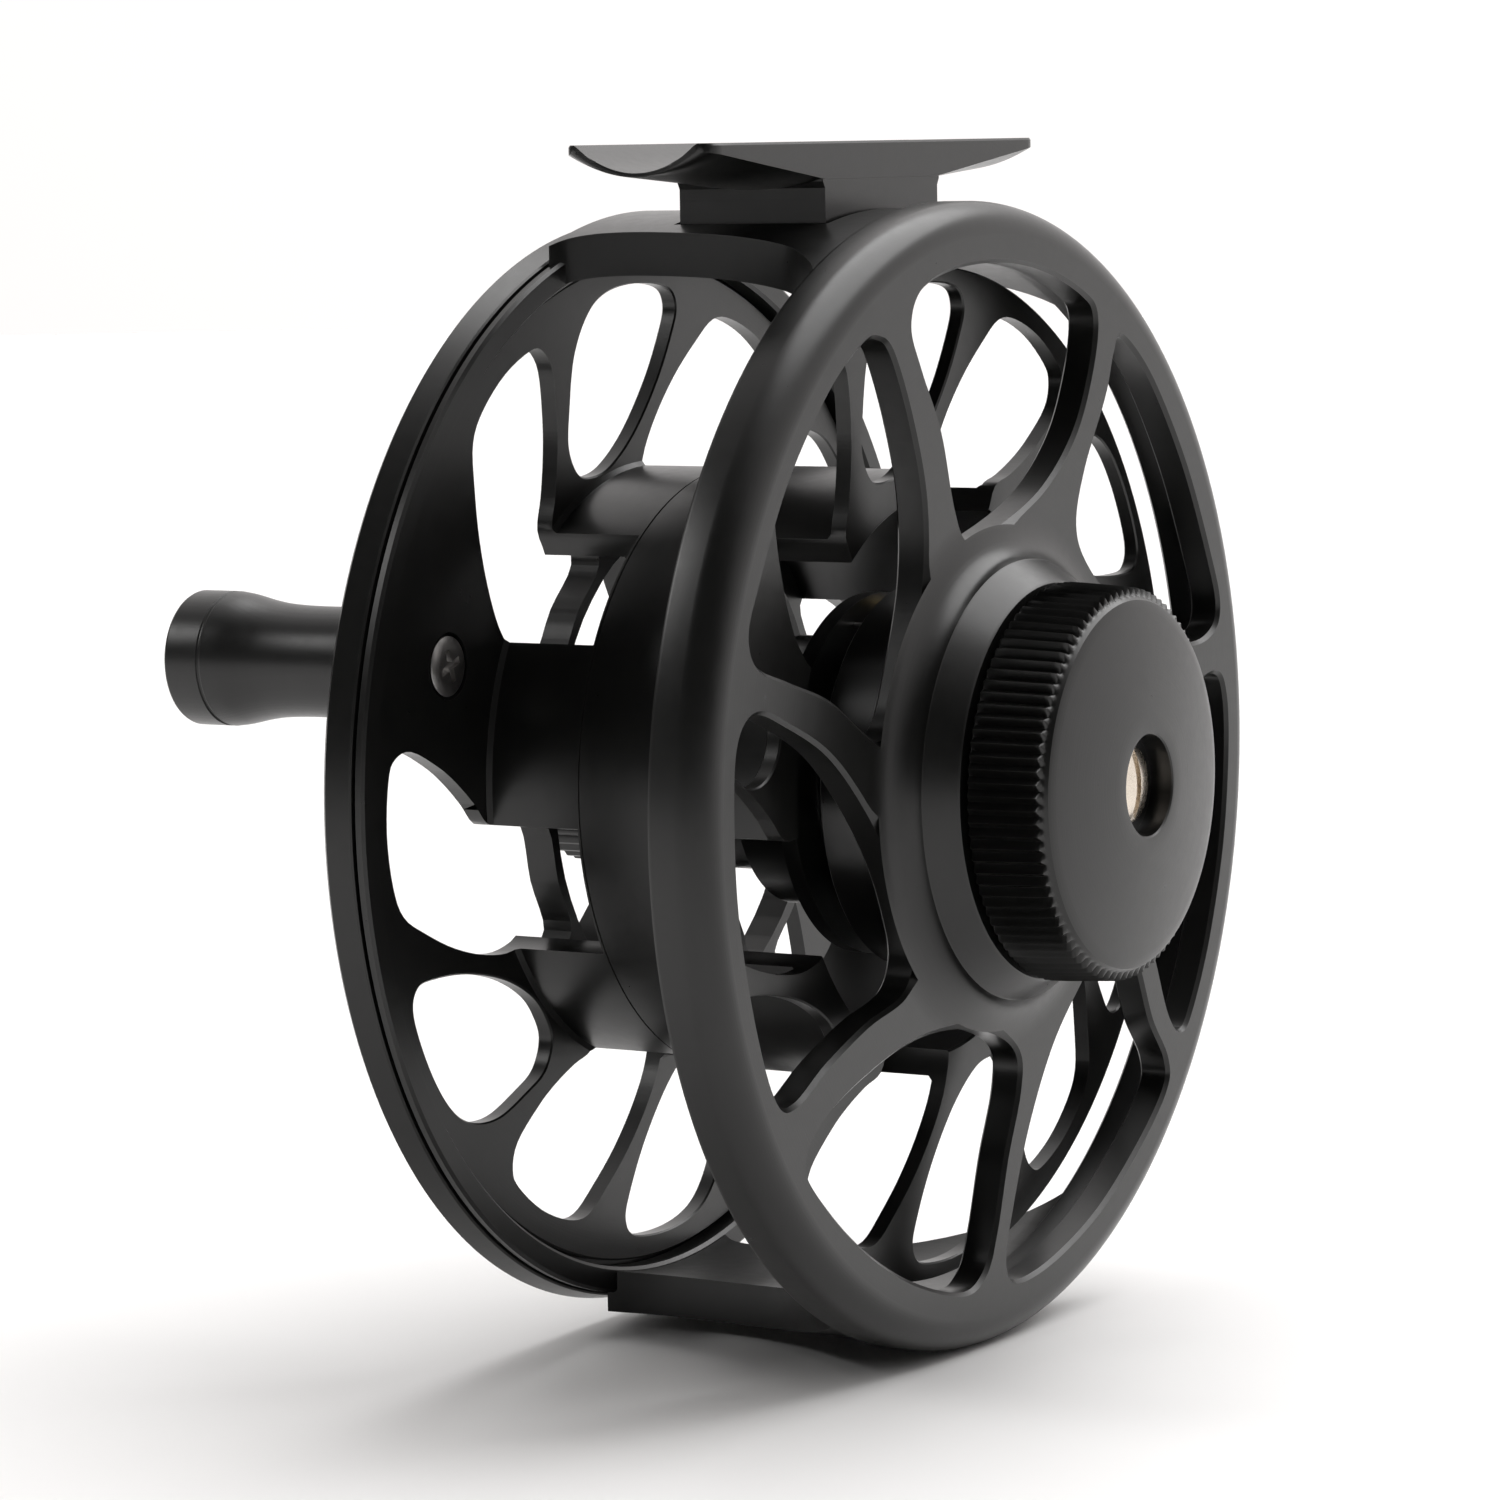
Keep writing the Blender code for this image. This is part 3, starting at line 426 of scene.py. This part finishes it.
def anodised(name, base, roughness, grain):
    """Black anodised aluminium: a fine etched grain, faint lathe rings and paler edges."""
    shader = Shader(name)
    mottle = shader.ramp(shader.noise(260.0), 0.3, 0.7, tuple(0.8 * part for part in base),
                         tuple(1.25 * part for part in base))
    worn = shader.mix(shader.edges(0.00022), mottle, tuple(2.6 * part for part in base))
    shader.link(worn, shader.principled.inputs["Base Color"])
    shader.link(shader.span(shader.noise(900.0, 3.0), roughness - 0.05, roughness + 0.05),
                shader.principled.inputs["Roughness"])
    grit = shader.noise(5200.0, 2.0)
    rings = turning_lines(shader, 4200.0)
    total = shader.add("ShaderNodeMath", operation="ADD")
    shader.link(grit, total.inputs[0])
    shader.link(rings, total.inputs[1])
    shader.bump(total.outputs["Value"], grain, 0.00002)
    shader.sets(metallic=0.0)
    return shader.material


def bare_metal(name, base, roughness, scale):
    """Machined metal with fine scratches and uneven polish."""
    shader = Shader(name)
    tint = shader.ramp(shader.noise(scale), 0.3, 0.75, tuple(0.82 * part for part in base), base)
    shader.link(tint, shader.principled.inputs["Base Color"])
    shader.link(shader.span(shader.noise(4 * scale), roughness - 0.07, roughness + 0.09),
                shader.principled.inputs["Roughness"])
    shader.bump(turning_lines(shader, 6 * scale), 0.25, 0.00002)
    shader.sets(metallic=1.0)
    return shader.material


def soft_black(name, base, roughness, scale):
    """Moulded rubber or plastic with a pebbled grain."""
    shader = Shader(name)
    tint = shader.ramp(shader.noise(scale), 0.3, 0.7, tuple(0.7 * part for part in base),
                       tuple(1.3 * part for part in base))
    shader.link(tint, shader.principled.inputs["Base Color"])
    shader.link(shader.span(shader.noise(5 * scale), roughness - 0.06, roughness + 0.06),
                shader.principled.inputs["Roughness"])
    shader.bump(shader.noise(12 * scale), 0.2, 0.00003)
    shader.sets(metallic=0.0)
    return shader.material


def woven(name):
    """Carbon friction cloth: a tight check of dark and darker tows."""
    shader = Shader(name)
    check = shader.add("ShaderNodeTexChecker", scale=900.0)
    check.inputs["Color1"].default_value = (0.012, 0.012, 0.013, 1.0)
    check.inputs["Color2"].default_value = (0.05, 0.05, 0.055, 1.0)
    shader.link(shader.coordinates, check.inputs["Vector"])
    shader.link(check.outputs["Color"], shader.principled.inputs["Base Color"])
    shader.link(shader.span(shader.noise(2000.0), 0.4, 0.6),
                shader.principled.inputs["Roughness"])
    shader.bump(check.outputs["Fac"], 0.3, 0.00005)
    return shader.material


MATERIALS = {
    "black_anodised": anodised("black anodised", (0.0045, 0.0045, 0.0042), 0.30, 0.18),
    "black_grip": anodised("black grip", (0.006, 0.006, 0.0058), 0.34, 0.25),
    "stainless_steel": bare_metal("stainless steel", (0.42, 0.41, 0.40), 0.32, 700.0),
    "nickel": bare_metal("nickel", (0.80, 0.72, 0.62), 0.26, 500.0),
    "brass": bare_metal("brass", (0.72, 0.55, 0.25), 0.32, 500.0),
    "bronze": bare_metal("bronze", (0.45, 0.28, 0.14), 0.42, 900.0),
    "aluminium": bare_metal("clear aluminium", (0.70, 0.70, 0.72), 0.34, 600.0),
    "carbon_fibre": woven("carbon cloth"),
    "rubber": soft_black("rubber", (0.015, 0.015, 0.015), 0.7, 500.0),
}
BLACK = MATERIALS["black_anodised"]


# ---------------------------------------------------------------- the frame


def frame_profile():
    """The face, boss, drag cup and near ring."""
    boss_foot = [(BOSS_R + 4.8 * (1 - math.cos(t)), BOSS_FOOT_HEIGHT * (1 - math.sin(t)))
                 for t in (math.radians(a) for a in range(0, 91, 10))]
    outer = arc((RING_R - 3.0, -3.0), 3.0, 90, 0, 14)
    return [(0.0, 3.0), (15.5, 3.0), (15.5, 5.3), (15.7, 5.5), (17.9, 5.5), (18.15, 5.3),
            (19.85, 2.95), *boss_foot, *outer,
            (RING_R, -5.2), (RING_R - 0.15, -5.6), (RING_R - 0.55, -5.8), (47.9, -5.8),
            (47.6, -5.5), (47.6, -3.1), (17.6, -3.1), (17.6, -8.7), (17.4, -8.9),
            (15.6, -8.9), (15.4, -8.7), (15.4, 0.8), (0.0, 0.8)]


def far_ring_profile():
    """The stepped ring that carries the far ends of the pillars."""
    return [(47.4, -36.2), (47.7, -35.9), (49.5, -35.9), (49.8, -36.15), (49.8, -36.7),
            (48.6, -36.7), (48.6, -38.0), (48.5, -38.1), (47.5, -38.1), (47.4, -38.0)]


def pillar(name, half_widths, low, high):
    """A curved bar between the rings, smooth in plan."""
    tube = lathe(name, [(47.8, -3.6), (51.6, -3.6), (51.6, -36.6), (47.8, -36.6)])
    side = open_curve([(half, height) for height, half in half_widths])
    outline = side + [(-x, height) for x, height in reversed(side)]
    return joined(tube, [upright(f"{name} plan", outline, low, high)], "INTERSECT")


def build_frame():
    """The machined frame with chamfered windows."""
    body = lathe("reel_frame", frame_profile())
    parts = [lathe("far ring", far_ring_profile()), pillar("top pillar", TOP_PILLAR, 30, 55),
             pillar("bottom pillar", BOTTOM_PILLAR, -55, -30)]
    joined(body, parts, "UNION")
    steps = ((0.55, 0.2), (0.35, 0.0), (0.0, -0.35), (0.0, -2.85), (0.25, -3.1), (0.5, -3.35))
    cutters = [punch(f"window {i}", closed_curve(points), steps)
               for i, points in enumerate(FRAME_WINDOWS)]
    half = PEDESTAL_LENGTH / 2 + 0.4
    deep = FOOT_WIDTH / 2 + 0.4
    seat = [(-half, -SEAT_DEPTH - deep), (half, -SEAT_DEPTH - deep),
            (half, -SEAT_DEPTH + deep), (-half, -SEAT_DEPTH + deep)]
    cutters.append(upright("pedestal seat", seat, PEDESTAL_SEAT - 0.3, 54.0))
    cutters.append(lathe("spindle hole", [(0.0, 4.0), (3.6, 4.0), (3.6, 0.0), (0.0, 0.0)], 48))
    joined(body, cutters)
    piece(body, BLACK, "frame_body", ["frame"])


# ---------------------------------------------------------------- the foot


def foot_section(x, inset=0.0):
    """The saddle's cross-section at x: trough above, crowned keel below, corners rounded."""
    run = (abs(x) - PEDESTAL_LENGTH / 2) / ((FOOT_LENGTH - PEDESTAL_LENGTH) / 2)
    run = min(max(run, 0.0), 1.0)
    edge_thickness = 3.5 - 2.6 * run - inset
    middle_depth = 4.4 - 1.4 * run - inset
    reach = min(FOOT_LENGTH / 2 - abs(x), TIP_ROUNDING)
    pulled_in = TIP_ROUNDING - math.sqrt(TIP_ROUNDING ** 2 - (TIP_ROUNDING - reach) ** 2)
    half_width = FOOT_WIDTH / 2 - 0.8 * pulled_in
    top = SEAT_RADIUS + TROUGH_SAG - inset
    shares = [2 * i / FOOT_FACETS - 1 for i in range(FOOT_FACETS + 1)]
    trough = [(share * (half_width - 0.15), top - TROUGH_SAG * (1 - share ** 2))
              for share in shares]
    keel = []
    for share in reversed(shares):
        drop = edge_thickness + (middle_depth - edge_thickness) * (1 - share * share)
        keel.append((share * half_width, top - drop + 0.15))
    section = [*trough, (half_width, top - 0.2), *keel, (-half_width, top - 0.2)]
    return [(x, y, z - SEAT_DEPTH) for z, y in section]


def build_foot():
    """The saddle foot on its pedestal."""
    half = FOOT_LENGTH / 2
    inner = PEDESTAL_LENGTH / 2
    tip = [TIP_ROUNDING * (1 - math.cos(math.radians(turn))) for turn in range(15, 91, 15)]
    wing = [TIP_ROUNDING + (half - inner - TIP_ROUNDING) * i / 6 for i in range(1, 7)]
    stations = [half - run for run in (*tip, *wing)]
    sections = [foot_section(half, 0.25), *(foot_section(x) for x in stations)]
    sections += [foot_section(-x) for x in reversed(stations)]
    sections.append(foot_section(-half, 0.25))
    foot = loft("reel_saddle_foot", sections)
    deep = FOOT_WIDTH / 2 - 0.05
    # (outset, height above the axis) of the pedestal, from inside the saddle to its seat
    flare = [(0.35, 54.4), (0.35, 54.2), (0.0, 53.6), (0.0, PEDESTAL_SEAT + 0.3),
             (-0.25, PEDESTAL_SEAT)]
    plinth = [[(sx * (inner + out), y, -SEAT_DEPTH + sz * (deep + min(out, 0.0)))
               for sx, sz in ((-1, -1), (1, -1), (1, 1), (-1, 1))] for out, y in flare]
    joined(foot, [loft("pedestal", plinth)], "UNION")
    piece(foot, BLACK, "frame_body", ["reel_foot"])


# ---------------------------------------------------------------- knob and screws


def build_knob():
    """The drag knob: straight knurls with a saw-tooth front, a lip and a domed face."""
    tooth = (1.0, 0.75, 0.35, 0.0, 0.35, 0.75)
    skirt = [(17.3, 6.05), (17.75, 6.1, 0.35), (18.0, 6.4, 0.7), (17.95, 8.0, 0.75),
             (17.7, 12.3, 0.75), (17.62, 12.75, 0.7), (17.5, 12.85, 0.65), (16.85, 13.05)]
    dome = [(16.7, 13.25), (16.55, 13.5), (16.3, 13.62)]
    dome += [(r, 13.66 + 1.64 * (1 - (r / 16.3) ** 2)) for r in (15.5, 13.5, 11, 8.5, 6.5, 5.0)]
    dome += [(4.72, 15.12), (4.58, 15.0)]
    inside = [(4.58, 12.9), (2.2, 12.9), (2.2, 11.9), (8.3, 11.9), (8.3, 6.5), (10.5, 6.5),
              (10.5, 11.9), (15.6, 11.9), (15.6, 6.05)]
    profile = inside + skirt + dome
    profile = [(*point, 0.0)[:3] for point in profile]
    knob = lathe("knurled_drag_knob", profile, KNOB_TEETH * len(tooth), teeth=tooth)
    piece(knob, BLACK, "knob", ["drag_knob"])


def build_knob_screw():
    """The slotted nickel screw in the knob's eye."""
    dome = arc((0.0, 13.2 - 6.6), 7.45, 90, 62.6, 8)
    profile = [(max(x, 0.0), y) for x, y in dome]
    profile = [(0.0, profile[0][1]), *profile[1:], (3.45, 13.0), (1.6, 13.0), (1.6, 6.6),
               (0.0, 6.6)]
    screw = lathe("knob_eye_screw", profile, 96)
    slot = [(-0.42, -4.0), (0.42, -4.0), (0.42, 4.0), (-0.42, 4.0)]
    joined(screw, [loft("slot", [[(x, y, h) for x, y in slot] for h in (15.0, 13.35)])])
    piece(screw, MATERIALS["nickel"], "frame_body", ["knob_screw"])


# ---------------------------------------------------------------- the spool


def spool_profile():
    """Both flanges, arbor, web, hub and palming rim."""
    return [(9.9, -11.8), (12.2, -11.8), (12.4, -12.0), (12.4, -12.2), (16.6, -12.2),
            (16.6, -13.8), (12.4, -13.8), (12.4, -20.9), (9.5, -22.5), (9.5, -33.0),
            (25.6, -33.0), (25.6, -6.6), (25.8, -6.4), (46.1, -6.4), (46.3, -6.6),
            (46.3, -7.7), (46.1, -7.9), (28.4, -7.9), (28.0, -8.3), (28.0, -27.45),
            (27.85, -27.5), (27.85, -27.65), (27.95, -27.7), (27.95, -36.8), (28.35, -37.2),
            (46.7, -37.2), (46.9, -37.4), (46.9, -38.5), (49.0, -38.5), (49.0, -37.15),
            (49.15, -37.0), (49.95, -37.0), (50.12, -37.15), (50.6, -39.3), (50.2, -39.7),
            (47.6, -39.7), (46.7, -38.8), (25.6, -38.8), (25.6, -36.0), (9.5, -36.0),
            (9.5, -39.3), (9.3, -39.5), (7.4, -39.5), (7.2, -39.3), (7.2, -19.6), (9.9, -19.6)]


def build_spool():
    """The machined spool, ported through flanges, arbor and web."""
    spool = lathe("ported_spool", spool_profile())
    bosses = [lathe(name, [(0.0, -38.0), (6.4, -38.0), (6.4, -39.75), (6.15, -40.0), (0.0, -40.0)],
                    60, place)
              for name, place in (("handle boss", HANDLE_AT), ("weight boss", COUNTERWEIGHT_AT))]
    joined(spool, bosses, "UNION")
    near = ((0.35, -6.2), (0.15, -6.4), (0.0, -6.55), (0.0, -7.75), (0.15, -7.9), (0.35, -8.1))
    far = ((0.35, -37.0), (0.15, -37.2), (0.0, -37.35), (0.0, -38.65), (0.15, -38.8),
           (0.35, -39.0))
    tools = []
    for turn in range(0, 360, 60):
        outline = closed_curve(port(OPEN_PORT, turn), 4)
        tools.append(punch(f"near open {turn}", outline, ((0.0, -5.5), (0.0, -14.9))))
        tools.append(punch(f"far open {turn}", outline, ((0.0, -27.9), (0.0, -41.0))))
        lens_turn = turn + 30
        lens = closed_curve(port(LENS_PORT, lens_turn), 6)
        if lens_turn != HANDLE_LENS_TURN:
            tools.append(punch(f"near lens {turn}", lens, near))
        if lens_turn not in (HANDLE_LENS_TURN, COUNTERWEIGHT_LENS_TURN):
            tools.append(punch(f"far lens {turn}", lens, far))
        web = closed_curve(port(WEB_PORT, turn + 20), 4)
        tools.append(punch(f"web {turn}", web, ((0.0, -32.0), (0.0, -37.0))))
    hole = [(x + polar(33.7, 168.2)[0], y + polar(33.7, 168.2)[1])
            for x, y in (polar(4.6, a) for a in range(0, 360, 6))]
    tools.append(punch("access hole", hole, near))
    seat = [(0.0, -36.0), (3.05, -36.0), (3.05, -37.9), (0.0, -37.9)]
    tools.append(lathe("screw seat", seat, 48, HANDLE_AT))
    joined(spool, tools)
    piece(spool, BLACK, "spool_body", ["spool"])


def build_cap():
    """The knurled cap on the spindle's far end."""
    tooth = (1.0, 1.0, 0.3, 0.0, 0.0, 0.3)
    profile = [(3.4, -41.4, 0.0), (3.4, -40.0, 0.0), (9.1, -40.0, 0.0), (9.5, -40.3, 0.5),
               (9.5, -44.5, 0.5), (8.9, -45.1, 0.2), (8.5, -45.4, 0.0), (3.8, -45.4, 0.0),
               (3.6, -45.2, 0.0), (3.6, -43.8, 0.0), (1.8, -43.8, 0.0), (1.8, -41.4, 0.0)]
    cap = lathe("knurled_spool_cap", profile, CAP_TEETH * len(tooth), teeth=tooth)
    piece(cap, BLACK, "frame_body", ["spool_cap"])


# ---------------------------------------------------------------- handle


def build_grip():
    """The turned grip, waisted in the middle and rounded at its end."""
    side = open_curve([(5.0, -41.25), (5.2, -41.8), (5.05, -46.0), (5.0, -51.0), (5.13, -54.2),
                       (5.42, -56.3), (5.9, -58.5), (6.12, -60.0)])
    end = [(6.0, -60.25), (6.0, -60.4), (6.12, -60.5), (6.12, -63.7), (6.0, -63.95),
           (5.8, -64.1), (5.1, -64.1), (5.0, -64.0)]
    profile = [(3.2, -41.2), *side, *end, (5.0, -61.7), (3.2, -61.7)]
    grip = lathe("winding_grip", profile, 120, HANDLE_AT)
    piece(grip, MATERIALS["black_grip"], "handle", ["handle_grip"])


def build_handle_screw():
    """The countersunk cross-head screw that holds the handle's post."""
    profile = [(0.0, -36.95), (1.6, -37.0), (2.3, -37.1), (2.7, -37.3), (2.7, -37.45),
               (1.6, -37.65), (1.6, -45.6), (0.0, -45.6)]
    screw = lathe("handle_cross_screw", profile, 60, HANDLE_AT)
    x0, y0 = polar(*HANDLE_AT)
    tools = []
    for turn in (20.0, 110.0):
        bar = [(1.5, -0.33), (1.5, 0.33), (-1.5, 0.33), (-1.5, -0.33)]
        along = math.radians(turn)
        bar = [(x0 + x * math.cos(along) - y * math.sin(along),
                y0 + x * math.sin(along) + y * math.cos(along)) for x, y in bar]
        tools.append(loft(f"bar {turn}", [[(x, y, h) for x, y in bar] for h in (-36.0, -37.5)]))
    joined(screw, tools)
    piece(screw, MATERIALS["stainless_steel"], "spool_body",
          ["handle_screw"])


def build_weight():
    """The turned counterweight opposite the handle."""
    profile = [(1.9, -40.3), (5.4, -40.3), (5.6, -40.5), (5.6, -42.4), *arc((4.8, -42.4), 0.8, 0,
               -90, 6), (3.4, -43.2), (3.2, -43.0), (3.2, -41.9), (1.9, -41.9)]
    weight = lathe("turned_counterweight", profile, 72, COUNTERWEIGHT_AT)
    piece(weight, MATERIALS["nickel"], "spool_body", ["counterweight"])


# ---------------------------------------------------------------- studio


def layout_point(x, y, height):
    """A layout point in the world."""
    return TO_WORLD @ Vector((x, y, height))


def add_camera():
    """The camera at the reference view."""
    azimuth, elevation, roll = (math.radians(angle) for angle in
                                (CAMERA_AZIMUTH, CAMERA_ELEVATION, CAMERA_ROLL))
    back = Vector((math.cos(elevation) * math.cos(azimuth),
                   math.cos(elevation) * math.sin(azimuth), math.sin(elevation)))
    level = Vector((-math.sin(azimuth), math.cos(azimuth), 0.0))
    rise = back.cross(level)
    right = level * math.cos(roll) + rise * math.sin(roll)
    up = rise * math.cos(roll) - level * math.sin(roll)
    place = (layout_point(0.0, 0.0, CAMERA_AIM_HEIGHT) + back * CAMERA_DISTANCE
             + right * CAMERA_RIGHT + up * CAMERA_UP)
    data = bpy.data.cameras.new("camera")
    data.lens = CAMERA_LENS
    data.clip_start = 0.01
    camera = bpy.data.objects.new("camera", data)
    camera.matrix_world = Matrix((
        (right.x, up.x, back.x, place.x), (right.y, up.y, back.y, place.y),
        (right.z, up.z, back.z, place.z), (0.0, 0.0, 0.0, 1.0)))
    bpy.context.scene.collection.objects.link(camera)
    bpy.context.scene.camera = camera


def add_light(name, place, size, power, colour):
    """A square area light aimed at the reel."""
    data = bpy.data.lights.new(name, "AREA")
    data.size = size
    data.energy = power
    data.color = colour
    light = bpy.data.objects.new(name, data)
    light.location = place
    aim = Vector((0.0, 0.0, AXIS_Z)) - Vector(place)
    light.rotation_euler = aim.to_track_quat("-Z", "Y").to_euler()
    bpy.context.scene.collection.objects.link(light)


def add_floor():
    """A pale round floor that the reel stands on."""
    bm = bmesh.new()
    bmesh.ops.create_circle(bm, cap_ends=True, segments=96, radius=3.0)
    mesh = bpy.data.meshes.new("studio_floor")
    bm.to_mesh(mesh)
    bm.free()
    floor = bpy.data.objects.new("studio_floor", mesh)
    floor.location.z = cad_low.z
    bpy.context.scene.collection.objects.link(floor)
    shader = Shader("pale floor")
    tint = shader.ramp(shader.noise(3.0), 0.3, 0.7, (0.90, 0.895, 0.89), (0.93, 0.925, 0.92))
    shader.link(tint, shader.principled.inputs["Base Color"])
    shader.sets(roughness=0.6)
    mesh.materials.append(shader.material)
    floor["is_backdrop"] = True


def light_world():
    """A white backdrop behind and beside the reel that fades into a dim room in front."""
    world = bpy.data.worlds.new("studio")
    world.use_nodes = True
    tree = world.node_tree
    background = tree.nodes["Background"]
    background.inputs["Strength"].default_value = 1.0
    coordinates = tree.nodes.new("ShaderNodeTexCoord")
    facing = tree.nodes.new("ShaderNodeVectorMath")
    facing.operation = "DOT_PRODUCT"
    facing.inputs[1].default_value = BACKDROP_DIRECTION
    fade = tree.nodes.new("ShaderNodeMapRange")
    fade.interpolation_type = "SMOOTHSTEP"
    fade.inputs["From Min"].default_value = -0.15
    fade.inputs["From Max"].default_value = 0.75
    tint = tree.nodes.new("ShaderNodeMix")
    tint.data_type = "RGBA"
    tint.inputs[6].default_value = (*ROOM_COLOUR, 1.0)
    tint.inputs[7].default_value = (*BACKDROP_COLOUR, 1.0)
    tree.links.new(coordinates.outputs["Generated"], facing.inputs[0])
    tree.links.new(facing.outputs["Value"], fade.inputs["Value"])
    tree.links.new(fade.outputs["Result"], tint.inputs[0])
    tree.links.new(tint.outputs[2], background.inputs["Color"])
    bpy.context.scene.world = world
    bpy.context.scene.view_settings.view_transform = "Standard"


def add_sun(direction, strength, spread):
    """A broad, soft sun from the direction."""
    data = bpy.data.lights.new("sun", "SUN")
    data.energy = strength
    data.angle = math.radians(spread)
    sun = bpy.data.objects.new("sun", data)
    sun.rotation_euler = (-Vector(direction)).to_track_quat("-Z", "Y").to_euler()
    bpy.context.scene.collection.objects.link(sun)


# ---------------------------------------------------------------- build

for entry in frame["record"]["subparts"]:
    node = frame["nodes"][entry["node"]]
    node.data.materials.clear()
    node.data.materials.append(MATERIALS[entry["material_slot"]])

build_frame()
build_foot()
build_knob()
build_knob_screw()
build_spool()
build_cap()
build_grip()
build_handle_screw()
build_weight()

add_camera()
add_floor()
light_world()
add_sun((0.85, -0.25, 1.6), 2.3, 60.0)
add_light("strip", (-0.55, 0.75, 0.55), 0.35, 2.2, (1.0, 0.99, 0.98))
